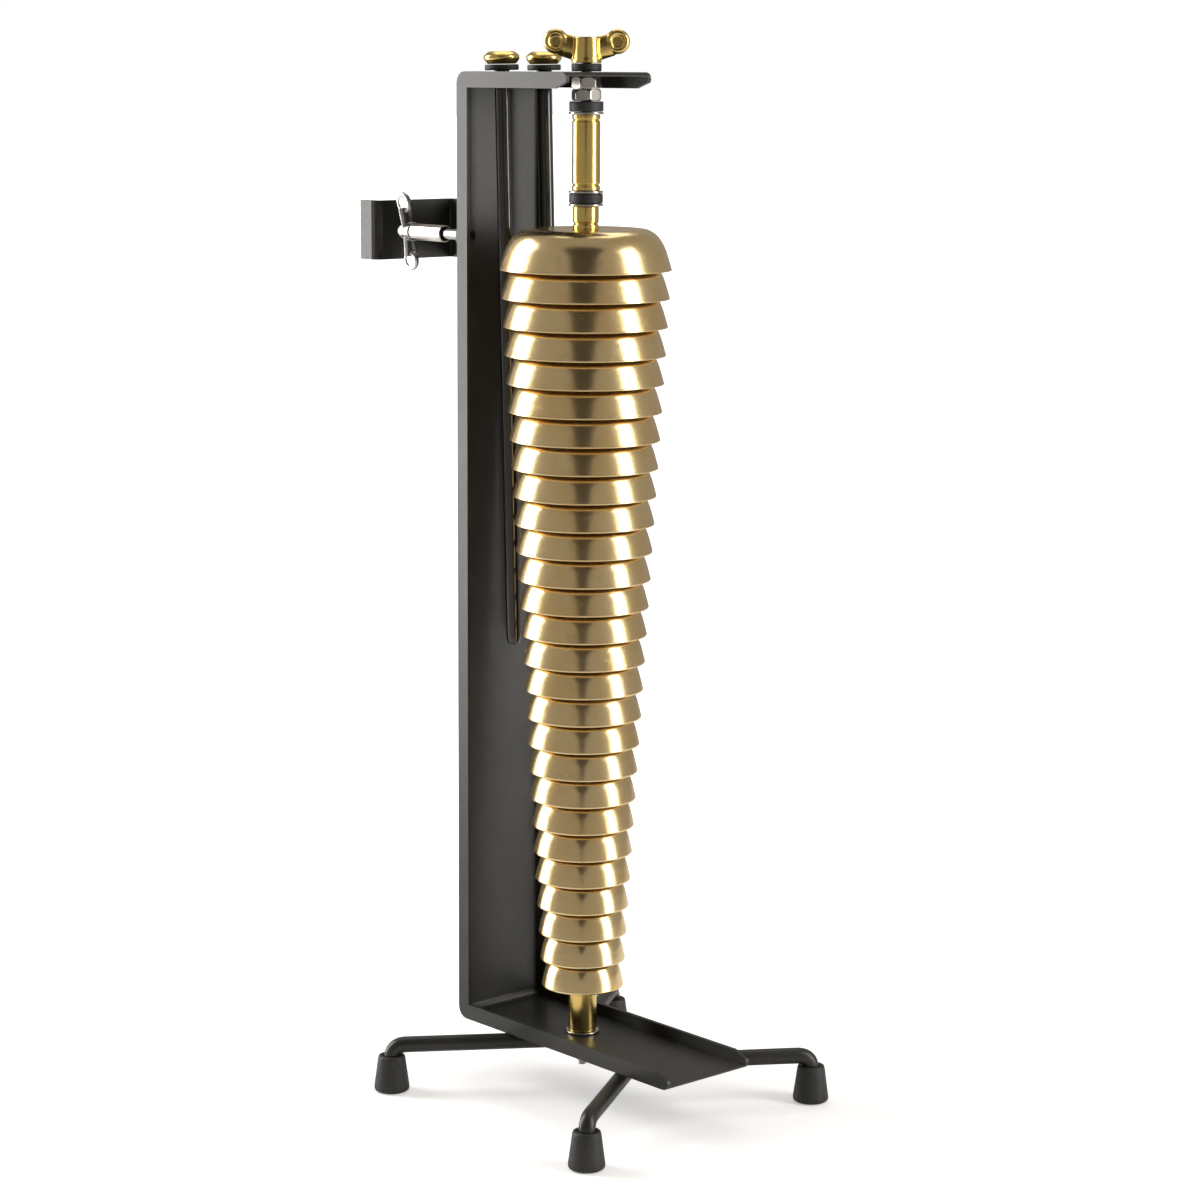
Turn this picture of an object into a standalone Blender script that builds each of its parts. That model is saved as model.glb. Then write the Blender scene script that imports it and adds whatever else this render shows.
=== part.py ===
"""Bell tree: a stack of cup bells on a spindle, held in a C-shaped channel frame.

Metres, +Z up.  +X runs from the frame's back along its arms, +Y across the
channel, and the origin is on the floor, under the middle of the whole object.
Run with: blender --background --python part.py
"""
import math

import bpy
import bmesh
from mathutils import Matrix, Vector

MM = 0.001

# Channel frame
CHANNEL_WIDTH = 66.0 * MM
FLANGE_HEIGHT = 9.5 * MM
SHEET = 2.5 * MM
FRAME_HEIGHT = 585.0 * MM
TOP_ARM = 100.0 * MM
BOTTOM_ARM = 193.0 * MM
CORNER_RADIUS = 7.0 * MM
TIP_CUT = 11.0 * MM
TIP_RADIUS = 4.0 * MM
CUTTER_OVERRUN = 5.0 * MM
EDGE_BREAK = 0.4 * MM
GROUND_CLEARANCE = 34.0 * MM

# Spindle and what is threaded on it
SPINDLE_REACH = 80.0 * MM
SPINDLE_RADIUS = 3.0 * MM
SPINDLE_BELOW = 18.0 * MM
SPINDLE_ABOVE = 19.0 * MM
BORE_CLEARANCE = 0.3 * MM
SEAT_GAP = 0.3 * MM
TUBE_RADIUS = 8.3 * MM
RING_RADIUS = 10.0 * MM
RING_HEIGHT = 5.8 * MM
WASHER_RADIUS = 10.2 * MM
WASHER_HEIGHT = 1.2 * MM
NUT_ACROSS_CORNERS = 18.0 * MM
NUT_HEIGHT = 6.8 * MM
NUT_CHAMFER = 0.9 * MM
NUT_TURNS = (0.45, 0.05, 0.3)
ROD_CHAMFER = 0.8 * MM
UPPER_TUBE = 44.0 * MM
LOWER_TUBE_RADIUS = 7.6 * MM
BOTTOM_TUBE_RADIUS = 8.6 * MM

# Bells
BELL_COUNT = 27
LARGEST_BELL = 102.0 * MM
SMALLEST_BELL = 50.0 * MM
BELL_HEIGHT = 24.0 * MM
BELL_HEIGHT_SHARE = 0.45
BELL_WALL = 1.8 * MM
TOP_LIP_DROP = 115.0 * MM
LAST_LIP_UP = 33.2 * MM
BELL_BORE = 3.6 * MM
BELL_SIDES = 16
BELL_DISH = 0.94
BELL_SHOULDER = (0.70, 1.0)
BELL_TURN = (0.82, 0.87)
BELL_FLARE = (0.91, 0.56)
SPACER_RADIUS = 6.0 * MM

# Brass wing nut
WING_BARREL_RADIUS = 8.4 * MM
WING_BARREL_HEIGHT = 15.0 * MM
WING_REACH = 18.0 * MM
WING_DISC_RADIUS = 7.2 * MM
WING_RISE = 12.5 * MM
WING_THICKNESS = 3.6 * MM
WING_TURN = math.radians(48.5)
CAP_WASHER_HEIGHT = 4.6 * MM

# Beaters, hung through the top arm
BEATER_REACH = 22.5 * MM
BEATER_SPREAD = 33.0 * MM
BEATER_ROD_RADIUS = 4.6 * MM
BEATER_ROD_LENGTH = 351.0 * MM
BEATER_HOLE_CLEARANCE = 0.8 * MM
COLLAR_RADIUS = 10.2 * MM
COLLAR_HEIGHT = 3.6 * MM
HEAD_RADIUS = 10.8 * MM
HEAD_HEIGHT = 7.4 * MM
BEATER_LEAN = math.radians(1.2)
BEATER_LEAN_WAY = math.radians(48.5)

# Feet and legs
FOOT_FRONT_REACH = 188.0 * MM
FOOT_BACK_REACH = 6.0 * MM
FOOT_SPREAD = 182.0 * MM
FOOT_HEIGHT = 20.5 * MM
FOOT_EDGE = 1.4 * MM
FOOT_BASE_RADIUS = 11.0 * MM
FOOT_TOP_RADIUS = 8.2 * MM
LEG_RADIUS = 4.9 * MM
LEG_ELBOW = 7.5 * MM
LEG_END = 7.0 * MM
ELBOW_STEPS = 4
BEND_STEPS = 6
REAR_LEG_VERTEX = 68.0 * MM
FRONT_LEG_VERTEX = 128.0 * MM
LEG_BEND = 16.0 * MM

# Stand clamp on the back
CLAMP_DROP = 97.7 * MM
STRAP_WIDTH = 36.5 * MM
STRAP_THICKNESS = 4.0 * MM
STRAP_DEPTH = 82.0 * MM
STRAP_OVERHANG = 1.0 * MM
STRAP_SIDE_INSET = 4.0 * MM
STRAP_FOOT = 34.0 * MM
STRAP_LIP = 12.0 * MM
SCREW_OFFSET = 9.0 * MM
SCREW_RADIUS = 3.2 * MM
SCREW_CHAMFER = 0.6 * MM
SLEEVE_RADIUS = 5.1 * MM
SLEEVE_BORE = 4.0 * MM
SLEEVE_LENGTH = 30.0 * MM
SLEEVE_STAND_OFF = 22.0 * MM
HUB_RADIUS = 5.6 * MM
HUB_LENGTH = 13.0 * MM
SCREW_WING_SPAN = 49.0 * MM
SCREW_WING_WIDTH = 13.0 * MM
SCREW_WING_THICKNESS = 3.0 * MM
WELD_NUT_RADIUS = 7.0 * MM
WELD_NUT_HEIGHT = 5.0 * MM

# Derived places
UNDERSIDE = GROUND_CLEARANCE
FRAME_TOP = GROUND_CLEARANCE + FRAME_HEIGHT
FLOOR_WEB_TOP = UNDERSIDE + SHEET
ROOF_UNDER = FRAME_TOP - SHEET
BACK_X = -SPINDLE_REACH
HALF_WIDTH = CHANNEL_WIDTH / 2
TOP_LIP = FRAME_TOP - TOP_LIP_DROP
LIP_PITCH = (FRAME_HEIGHT - TOP_LIP_DROP - LAST_LIP_UP) / (BELL_COUNT - 1)
CLAMP_Z = FRAME_TOP - CLAMP_DROP
REARMOST = BACK_X - SEAT_GAP - STRAP_DEPTH - STRAP_LIP
FOREMOST = BACK_X + FOOT_FRONT_REACH + FOOT_BASE_RADIUS
CENTRE_SHIFT = -(REARMOST + FOREMOST) / 2

MATERIALS = {
    "black_steel": ((0.035, 0.035, 0.032), 0.42, 0.0),
    "bell_brass": ((0.83, 0.62, 0.30), 0.16, 1.0),
    "brass": ((0.80, 0.60, 0.26), 0.22, 1.0),
    "nickel": ((0.72, 0.70, 0.66), 0.2, 1.0),
    "chrome": ((0.80, 0.80, 0.80), 0.12, 1.0),
    "black_rubber": ((0.03, 0.03, 0.03), 0.7, 0.0),
    "black_lacquer": ((0.02, 0.02, 0.02), 0.15, 0.0),
}


def clear_scene():
    for old in list(bpy.data.objects):
        bpy.data.objects.remove(old, do_unlink=True)


def new_collection(name):
    group = bpy.data.collections.new(name)
    bpy.context.scene.collection.children.link(group)
    return group


def make_materials():
    made = {}
    for name, (colour, roughness, metallic) in MATERIALS.items():
        material = bpy.data.materials.new(name)
        material.use_nodes = True
        shader = material.node_tree.nodes["Principled BSDF"]
        shader.inputs["Base Color"].default_value = (*colour, 1.0)
        shader.inputs["Roughness"].default_value = roughness
        shader.inputs["Metallic"].default_value = metallic
        made[name] = material
    return made


def add_mesh_object(name, mesh, material, place=(0.0, 0.0, 0.0)):
    piece = bpy.data.objects.new(name, mesh)
    PARTS.objects.link(piece)
    piece.location = place
    if not mesh.materials:
        mesh.materials.append(MATS[material])
    return piece


def add_cutter(name, mesh, place=(0.0, 0.0, 0.0)):
    cutter = bpy.data.objects.new(name, mesh)
    CUTTERS.objects.link(cutter)
    cutter.location = place
    cutter.hide_render = True
    cutter.display_type = "WIRE"
    return cutter


def boolean(piece, cutter, operation="DIFFERENCE"):
    step = piece.modifiers.new(operation.title(), "BOOLEAN")
    step.operation = operation
    step.solver = "EXACT"
    step.object = cutter


def cylinder_mesh(name, radius, height, sides=24, top_radius=None):
    """A cylinder or cone standing on z = 0."""
    mesh = bpy.data.meshes.new(name)
    shape = bmesh.new()
    upper = radius if top_radius is None else top_radius
    bmesh.ops.create_cone(shape, cap_ends=True, segments=sides, radius1=radius, radius2=upper,
                          depth=height, matrix=Matrix.Translation((0.0, 0.0, height / 2)))
    shape.to_mesh(mesh)
    shape.free()
    return mesh


def turned(name, profile, material, place, sides=24, closed=True):
    """A profile of (radius, height) points, outer side top to bottom, turned round Z."""
    mesh = bpy.data.meshes.new(name)
    points = [(r, 0.0, z) for r, z in profile]
    count = len(points)
    edges = [(i, i + 1) for i in range(count - 1)]
    if closed:
        edges.append((count - 1, 0))
    mesh.from_pydata(points, edges, [])
    piece = add_mesh_object(name, mesh, material, place)
    screw = piece.modifiers.new("Screw", "SCREW")
    screw.axis = "Z"
    screw.steps = sides
    screw.render_steps = sides
    screw.use_merge_vertices = True
    screw.merge_threshold = 0.00001
    screw.use_smooth_shade = True
    return piece


def ring(name, outer, inner, low, high, material, place=(0.0, 0.0, 0.0), sides=16, chamfer=EDGE_BREAK):
    """A straight tube, washer or ring between two heights, with its outer edges broken."""
    profile = [(inner, high), (outer - chamfer, high), (outer, high - chamfer),
               (outer, low + chamfer), (outer - chamfer, low), (inner, low)]
    return turned(name, profile, material, place, sides)


def outline_mesh(name, loops, thickness):
    """A flat outline in XY with thickness along Z, from a filled 2D curve."""
    data = bpy.data.curves.new(name, "CURVE")
    data.dimensions = "2D"
    data.fill_mode = "BOTH"
    data.extrude = thickness / 2
    for loop in loops:
        spline = data.splines.new("POLY")
        spline.points.add(len(loop) - 1)
        for point, (x, y) in zip(spline.points, loop):
            point.co = (x, y, 0.0, 1.0)
        spline.use_cyclic_u = True
    guide = bpy.data.objects.new(name, data)
    CUTTERS.objects.link(guide)
    bpy.context.view_layer.update()
    flat = guide.evaluated_get(bpy.context.evaluated_depsgraph_get())
    mesh = bpy.data.meshes.new_from_object(flat)
    bpy.data.objects.remove(guide, do_unlink=True)
    shape = bmesh.new()
    shape.from_mesh(mesh)
    bmesh.ops.remove_doubles(shape, verts=shape.verts, dist=0.000001)
    bmesh.ops.recalc_face_normals(shape, faces=shape.faces)
    shape.to_mesh(mesh)
    shape.free()
    mesh.name = name
    return mesh


def arc(centre, radius, start, end, steps):
    """Points on an arc, angles in degrees."""
    found = []
    for i in range(steps + 1):
        turn = math.radians(start + (end - start) * i / steps)
        found.append((centre[0] + radius * math.cos(turn), centre[1] + radius * math.sin(turn)))
    return found


def strip_outline(inset, reach, overrun, tip_cut, tip_radius):
    """A C-shaped strip seen from the frame's side: X along the arms, Y up.

    Its outer boundary lies inset inside the frame's outer face, its inner
    boundary lies reach inside it, and its ends pass the arms' by overrun.
    """
    left = BACK_X + inset
    low = UNDERSIDE + inset
    high = FRAME_TOP - inset
    radius = CORNER_RADIUS - inset
    top_end = BACK_X + TOP_ARM + overrun
    bottom_end = BACK_X + BOTTOM_ARM + overrun
    points = arc((left + radius, high - radius), radius, 180.0, 90.0, 4)
    points += arc((top_end - tip_radius, high - tip_radius), tip_radius, 90.0, -30.0, 4)
    points += [(top_end - tip_cut, FRAME_TOP - reach), (BACK_X + reach, FRAME_TOP - reach)]
    points += [(BACK_X + reach, UNDERSIDE + reach), (bottom_end - tip_cut, UNDERSIDE + reach)]
    points += arc((bottom_end - tip_radius, low + tip_radius), tip_radius, 30.0, -90.0, 4)
    points += arc((left + radius, low + radius), radius, 270.0, 180.0, 4)
    return points


def stand_up(mesh):
    """Turn a mesh drawn in XY so that its Y becomes height and its thickness runs along Y."""
    mesh.transform(Matrix(((1, 0, 0, 0), (0, 0, -1, 0), (0, 1, 0, 0), (0, 0, 0, 1))))
    return mesh


def lean_matrix(point):
    """The beater's lean about the point where its collar sits on the arm."""
    way = Vector((math.cos(BEATER_LEAN_WAY), math.sin(BEATER_LEAN_WAY), 0.0))
    axis = Vector((0.0, 0.0, 1.0)).cross(way)
    return Matrix.Translation(point) @ Matrix.Rotation(-BEATER_LEAN, 4, axis)


def make_frame():
    outer = strip_outline(0.0, FLANGE_HEIGHT, 0.0, TIP_CUT, TIP_RADIUS)
    mesh = stand_up(outline_mesh("channel_frame", [outer], CHANNEL_WIDTH))
    frame = add_mesh_object("channel_frame", mesh, "black_steel")
    inner = strip_outline(SHEET, FLANGE_HEIGHT + CUTTER_OVERRUN, CUTTER_OVERRUN, 0.0, EDGE_BREAK)
    hollow = stand_up(outline_mesh("channel_hollow", [inner], CHANNEL_WIDTH - 2 * SHEET))
    boolean(frame, add_cutter("channel_hollow", hollow))
    length = FRAME_HEIGHT + 2 * CUTTER_OVERRUN
    hole = cylinder_mesh("spindle_hole", SPINDLE_RADIUS + BORE_CLEARANCE, length, 16)
    boolean(frame, add_cutter("spindle_hole", hole, (0.0, 0.0, UNDERSIDE - CUTTER_OVERRUN)))
    depth = SHEET + 2 * CUTTER_OVERRUN
    for side in (-1, 1):
        bore = cylinder_mesh("beater_hole", BEATER_ROD_RADIUS + BEATER_HOLE_CLEARANCE, depth, 16)
        place = (BACK_X + BEATER_REACH, side * BEATER_SPREAD / 2, ROOF_UNDER - CUTTER_OVERRUN)
        boolean(frame, add_cutter("beater_hole_%d" % side, bore, place))
    tap = cylinder_mesh("clamp_hole", SCREW_RADIUS + BORE_CLEARANCE, depth, 16)
    tap.transform(Matrix.Rotation(math.pi / 2, 4, "Y"))
    place = (BACK_X - CUTTER_OVERRUN, -HALF_WIDTH + SCREW_OFFSET, CLAMP_Z)
    boolean(frame, add_cutter("clamp_hole", tap, place))


def make_spindle():
    top = FRAME_TOP + SPINDLE_ABOVE
    bottom = UNDERSIDE - SPINDLE_BELOW
    shoulder = SPINDLE_RADIUS - ROD_CHAMFER
    profile = [(0.0, top), (shoulder, top), (SPINDLE_RADIUS, top - ROD_CHAMFER),
               (SPINDLE_RADIUS, bottom + ROD_CHAMFER), (shoulder, bottom), (0.0, bottom)]
    turned("spindle_rod", profile, "nickel", (0.0, 0.0, 0.0), 16, closed=False)


def hex_nut(name, low, turn, bore):
    mesh = cylinder_mesh(name, NUT_ACROSS_CORNERS / 2, NUT_HEIGHT, 6)
    mesh.transform(Matrix.Rotation(turn, 4, "Z"))
    nut = add_mesh_object(name, mesh, "nickel", (0.0, 0.0, low))
    hole = cylinder_mesh(name + "_bore", bore, NUT_HEIGHT + 2 * CUTTER_OVERRUN, 16)
    boolean(nut, add_cutter(name + "_bore", hole, (0.0, 0.0, low - CUTTER_OVERRUN)))
    half = NUT_ACROSS_CORNERS / 2
    cone = cylinder_mesh(name + "_chamfer", half + NUT_CHAMFER, NUT_HEIGHT, 24, half - NUT_CHAMFER)
    boolean(nut, add_cutter(name + "_chamfer", cone, (0.0, 0.0, low)), "INTERSECT")


def make_stack():
    """Everything between the top arm and the first bell, then the spacers and the bottom tube."""
    bore = SPINDLE_RADIUS + BORE_CLEARANCE
    level = ROOF_UNDER - SEAT_GAP
    for name, turn in (("upper_jam_nut", NUT_TURNS[0]), ("lower_jam_nut", NUT_TURNS[1])):
        level -= NUT_HEIGHT
        hex_nut(name, level, turn, bore)
        level -= SEAT_GAP
    pieces = (
        ("upper_rubber_ring", RING_RADIUS, RING_HEIGHT, "black_rubber"),
        ("upper_washer", WASHER_RADIUS, WASHER_HEIGHT, "nickel"),
        ("upper_spacer_tube", TUBE_RADIUS, UPPER_TUBE, "brass"),
        ("middle_washer", WASHER_RADIUS, WASHER_HEIGHT, "nickel"),
        ("lower_rubber_ring", RING_RADIUS, RING_HEIGHT, "black_rubber"),
        ("lower_washer", WASHER_RADIUS, WASHER_HEIGHT, "nickel"),
    )
    for name, radius, height, material in pieces:
        ring(name, radius, bore, level - height, level, material)
        level -= height + SEAT_GAP
    crown = bell_crown_height(0)
    ring("lower_spacer_tube", LOWER_TUBE_RADIUS, bore, crown + SEAT_GAP, level, "brass")
    last = bell_crown_height(BELL_COUNT - 1) - BELL_WALL - SEAT_GAP
    base = FLOOR_WEB_TOP + SEAT_GAP
    ring("floor_washer", WASHER_RADIUS, bore, base, base + WASHER_HEIGHT, "nickel")
    ring("bottom_spacer_tube", BOTTOM_TUBE_RADIUS, bore, base + WASHER_HEIGHT + SEAT_GAP, last, "brass")
    under = UNDERSIDE - SEAT_GAP - NUT_HEIGHT
    hex_nut("bottom_nut", under, NUT_TURNS[2], bore)


def bell_radius(index):
    return (LARGEST_BELL + (SMALLEST_BELL - LARGEST_BELL) * index / (BELL_COUNT - 1)) / 2


def bell_height(index):
    share = bell_radius(index) / (LARGEST_BELL / 2)
    return BELL_HEIGHT * (BELL_HEIGHT_SHARE + (1.0 - BELL_HEIGHT_SHARE) * share)


def bell_lip(index):
    return TOP_LIP - index * LIP_PITCH


def bell_crown_height(index):
    """Height of the crown's top face at the spindle."""
    return bell_lip(index) + bell_height(index) * BELL_DISH


def make_bells():
    """Each bell with the spacer under its crown, which stands on the next bell."""
    for index in range(BELL_COUNT):
        radius = bell_radius(index)
        height = bell_height(index)
        wall = BELL_WALL
        crown = height * BELL_DISH
        outer = [(BELL_BORE, crown)]
        outer += [(radius * r, height * z) for r, z in (BELL_SHOULDER, BELL_TURN, BELL_FLARE)]
        outer.append((radius, 0.0))
        inner = [(radius - wall, 0.0), (radius * BELL_FLARE[0] - wall, height * BELL_FLARE[1]),
                 (radius * BELL_SHOULDER[0], height - wall), (SPACER_RADIUS, crown - wall)]
        if index < BELL_COUNT - 1:
            stand = bell_crown_height(index + 1) + SEAT_GAP - bell_lip(index)
            inner += [(SPACER_RADIUS, stand), (BELL_BORE, stand)]
        else:
            inner.append((BELL_BORE, crown - wall))
        place = (0.0, 0.0, bell_lip(index))
        turned("bell_%02d" % (index + 1), outer + inner, "bell_brass", place, BELL_SIDES)


def make_wing_nut():
    low = FRAME_TOP + SEAT_GAP
    ring("cap_washer", WASHER_RADIUS - 1.4 * MM, SPINDLE_RADIUS + BORE_CLEARANCE, low,
         low + CAP_WASHER_HEIGHT, "black_rubber")
    base = low + CAP_WASHER_HEIGHT + SEAT_GAP
    bore = SPINDLE_RADIUS + BORE_CLEARANCE
    nut = ring("brass_wing_nut", WING_BARREL_RADIUS, bore, 0.0, WING_BARREL_HEIGHT, "brass",
               (0.0, 0.0, base), chamfer=0.6 * MM)
    loop = [(bore + 1.5 * MM, 1.0 * MM), (WING_REACH - 5.0 * MM, 1.0 * MM)]
    loop += arc((WING_REACH, WING_RISE), WING_DISC_RADIUS, -35.0, 150.0, 10)
    loop += [(WING_BARREL_RADIUS, WING_BARREL_HEIGHT - 1.5 * MM), (bore + 1.5 * MM, WING_BARREL_HEIGHT - 1.5 * MM)]
    for side in (0, 1):
        blade = stand_up(outline_mesh("wing_blade", [loop], WING_THICKNESS))
        blade.transform(Matrix.Rotation(math.pi * side, 4, "Z"))
        boolean(nut, add_cutter("wing_blade_%d" % side, blade, (0.0, 0.0, base)), "UNION")
    for blade_name in ("wing_blade_0", "wing_blade_1"):
        bpy.data.objects[blade_name].rotation_euler = (0.0, 0.0, WING_TURN)
    nut.rotation_euler = (0.0, 0.0, WING_TURN)


def make_beaters():
    for index, side in enumerate((-1, 1)):
        seat = Vector((BACK_X + BEATER_REACH, side * BEATER_SPREAD / 2, FRAME_TOP + SEAT_GAP))
        base = bpy.data.objects.new("beater_%d_axis" % (index + 1), None)
        PARTS.objects.link(base)
        base.matrix_world = lean_matrix(seat)
        number = index + 1
        lift = COLLAR_RADIUS * math.tan(BEATER_LEAN)
        collar = ring("beater_collar_%d" % number, COLLAR_RADIUS, BEATER_ROD_RADIUS + SEAT_GAP, lift,
                      lift + COLLAR_HEIGHT, "black_rubber", chamfer=0.5 * MM)
        top = lift + COLLAR_HEIGHT + SEAT_GAP
        head = turned("beater_head_%d" % number, [
            (0.0, top + HEAD_HEIGHT), (HEAD_RADIUS * 0.62, top + HEAD_HEIGHT),
            (HEAD_RADIUS * 0.93, top + HEAD_HEIGHT * 0.86), (HEAD_RADIUS, top + HEAD_HEIGHT * 0.55),
            (HEAD_RADIUS * 0.94, top + HEAD_HEIGHT * 0.16), (HEAD_RADIUS * 0.8, top), (0.0, top)],
            "brass", (0.0, 0.0, 0.0), 18, closed=False)
        end = top - SEAT_GAP - BEATER_ROD_LENGTH
        tip = BEATER_ROD_RADIUS
        rod = turned("beater_rod_%d" % number, [
            (0.0, top - SEAT_GAP), (tip, top - SEAT_GAP), (tip, end + tip * 0.6), (tip * 0.8, end + tip * 0.2),
            (tip * 0.45, end), (0.0, end)], "black_lacquer", (0.0, 0.0, 0.0), 16, closed=False)
        for piece in (collar, head, rod):
            piece.parent = base


def leg_points(vertex, foot_x):
    """A bent rod: up out of a foot, an elbow, a run to a rounded bend under the arm, and back."""
    height = UNDERSIDE - SEAT_GAP - LEG_RADIUS
    middle = Vector((vertex, 0.0, 0.0))
    up = Vector((0.0, 0.0, 1.0))
    halves = []
    bends = []
    for side in (-1, 1):
        foot = Vector((foot_x, side * FOOT_SPREAD / 2, 0.0))
        inward = (middle - foot).normalized()
        half = [foot + up * LEG_END]
        for i in range(ELBOW_STEPS + 1):
            turn = math.pi / 2 * i / ELBOW_STEPS
            rise = height - LEG_ELBOW + LEG_ELBOW * math.sin(turn)
            half.append(foot + inward * LEG_ELBOW * (1.0 - math.cos(turn)) + up * rise)
        halves.append(half)
        bends.append(-inward * LEG_BEND)
    points = halves[0]
    for i in range(BEND_STEPS + 1):
        t = i / BEND_STEPS
        points.append(middle + up * height + bends[0] * (1 - t) ** 2 + bends[1] * t ** 2)
    return points + halves[1][::-1]


def make_legs():
    rows = (("rear_leg_rod", BACK_X + REAR_LEG_VERTEX, BACK_X + FOOT_BACK_REACH),
            ("front_leg_rod", BACK_X + FRONT_LEG_VERTEX, BACK_X + FOOT_FRONT_REACH))
    for name, vertex, foot_x in rows:
        points = leg_points(vertex, foot_x)
        data = bpy.data.curves.new(name, "CURVE")
        data.dimensions = "3D"
        data.bevel_depth = LEG_RADIUS
        data.bevel_resolution = 2
        data.use_fill_caps = True
        spline = data.splines.new("POLY")
        spline.points.add(len(points) - 1)
        for target, point in zip(spline.points, points):
            target.co = (*point, 1.0)
        rod = bpy.data.objects.new(name, data)
        PARTS.objects.link(rod)
        data.materials.append(MATS["black_steel"])
    names = (("rear_left_foot", FOOT_BACK_REACH, -1), ("rear_right_foot", FOOT_BACK_REACH, 1),
             ("front_left_foot", FOOT_FRONT_REACH, -1), ("front_right_foot", FOOT_FRONT_REACH, 1))
    for name, reach, side in names:
        place = Vector((BACK_X + reach, side * FOOT_SPREAD / 2, 0.0))
        foot = turned(name, [
            (0.0, FOOT_HEIGHT), (FOOT_TOP_RADIUS - EDGE_BREAK, FOOT_HEIGHT),
            (FOOT_TOP_RADIUS, FOOT_HEIGHT - EDGE_BREAK), (FOOT_BASE_RADIUS, FOOT_EDGE),
            (FOOT_BASE_RADIUS - FOOT_EDGE, 0.0), (0.0, 0.0)], "black_rubber", place, 16, closed=False)
        socket = cylinder_mesh(name + "_socket", LEG_RADIUS + SEAT_GAP, FOOT_HEIGHT, 16)
        boolean(foot, add_cutter(name + "_socket", socket, place + Vector((0.0, 0.0, LEG_END - SEAT_GAP))))


def make_clamp():
    z = CLAMP_Z
    back = BACK_X - SEAT_GAP
    right = HALF_WIDTH - STRAP_SIDE_INSET
    far = back - STRAP_DEPTH
    left = -HALF_WIDTH - STRAP_OVERHANG
    t = STRAP_THICKNESS
    outer = 5.0 * MM
    inner = outer - t
    loop = [(back, right - STRAP_FOOT), (back, right - outer)]
    loop += arc((back - outer, right - outer), outer, 0.0, 90.0, 3)
    loop += arc((far + outer, right - outer), outer, 90.0, 180.0, 3)
    loop += [(far, left + t + inner)]
    loop += [(far - STRAP_LIP, left + t), (far - STRAP_LIP, left), (far + t - outer, left)]
    loop += arc((far + t - outer, left + outer), outer, -90.0, 0.0, 3)
    loop += arc((far + outer, right - outer), inner, 180.0, 90.0, 3)
    loop += arc((back - outer, right - outer), inner, 90.0, 0.0, 3)
    loop += [(back - t, right - STRAP_FOOT)]
    mesh = outline_mesh("clamp_strap", [loop], STRAP_WIDTH)
    add_mesh_object("clamp_strap", mesh, "black_steel", (0.0, 0.0, z))
    y = -HALF_WIDTH + SCREW_OFFSET
    turn_x = Matrix.Rotation(-math.pi / 2, 4, "Y")
    bore = (SCREW_RADIUS + BORE_CLEARANCE) / math.cos(math.pi / 6)
    nut = ring("clamp_weld_nut", WELD_NUT_RADIUS, bore, 0.0, WELD_NUT_HEIGHT,
               "black_steel", (back, y, z), 6)
    nut.rotation_euler = turn_x.to_euler()
    sleeve = ring("clamp_sleeve", SLEEVE_RADIUS, SLEEVE_BORE, 0.0, SLEEVE_LENGTH, "nickel",
                  (back - SLEEVE_STAND_OFF, y, z))
    sleeve.rotation_euler = turn_x.to_euler()
    start = SLEEVE_STAND_OFF + SLEEVE_LENGTH + SEAT_GAP
    screw = turned("clamp_wing_screw", [
        (0.0, start + HUB_LENGTH), (HUB_RADIUS * 0.5, start + HUB_LENGTH - 0.8 * MM),
        (HUB_RADIUS * 0.9, start + HUB_LENGTH * 0.72), (HUB_RADIUS, start + HUB_LENGTH * 0.4),
        (HUB_RADIUS, start), (SCREW_RADIUS, start), (SCREW_RADIUS, SCREW_CHAMFER),
        (SCREW_RADIUS - SCREW_CHAMFER, 0.0), (0.0, 0.0)], "chrome", (back, y, z), 16, closed=False)
    screw.rotation_euler = turn_x.to_euler()
    disc = SCREW_WING_WIDTH * 0.52
    centre = (start + SCREW_WING_WIDTH * 0.55, SCREW_WING_SPAN / 2 - disc)
    loop = [(start + 2.0 * MM, SCREW_RADIUS), (start + 0.5 * MM, HUB_RADIUS + 1.0 * MM)]
    loop += arc(centre, disc, 200.0, -20.0, 10)
    loop += [(start + HUB_LENGTH * 0.7, HUB_RADIUS), (start + HUB_LENGTH * 0.6, SCREW_RADIUS)]
    for side in (0, 1):
        wing = outline_mesh("screw_wing", [loop], SCREW_WING_THICKNESS)
        wing.transform(Matrix(((-1, 0, 0, 0), (0, 0, 1, 0), (0, 1, 0, 0), (0, 0, 0, 1))))
        wing.transform(Matrix.Rotation(math.pi * side, 4, "X"))
        boolean(screw, add_cutter("screw_wing_%d" % side, wing, (back, y, z)), "UNION")


clear_scene()
PARTS = new_collection("bell_tree")
CUTTERS = new_collection("cutters")
MATS = make_materials()
make_frame()
make_spindle()
make_stack()
make_bells()
make_wing_nut()
make_beaters()
make_legs()
make_clamp()
for group in (PARTS, CUTTERS):
    for item in group.objects:
        if item.parent is None:
            item.location.x += CENTRE_SHIFT
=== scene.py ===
# %% [markdown]
# # Bell tree
# The looks of a bell tree: 27 brass cup bells on a spindle in a black channel
# frame. The CAD nodes carry the sizes, and this script gives them their finish
# and replaces the turned and cast pieces with finer surfaces.

# %%
import math
import bpy
import numpy as np
from mathutils import Matrix, Vector


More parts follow.
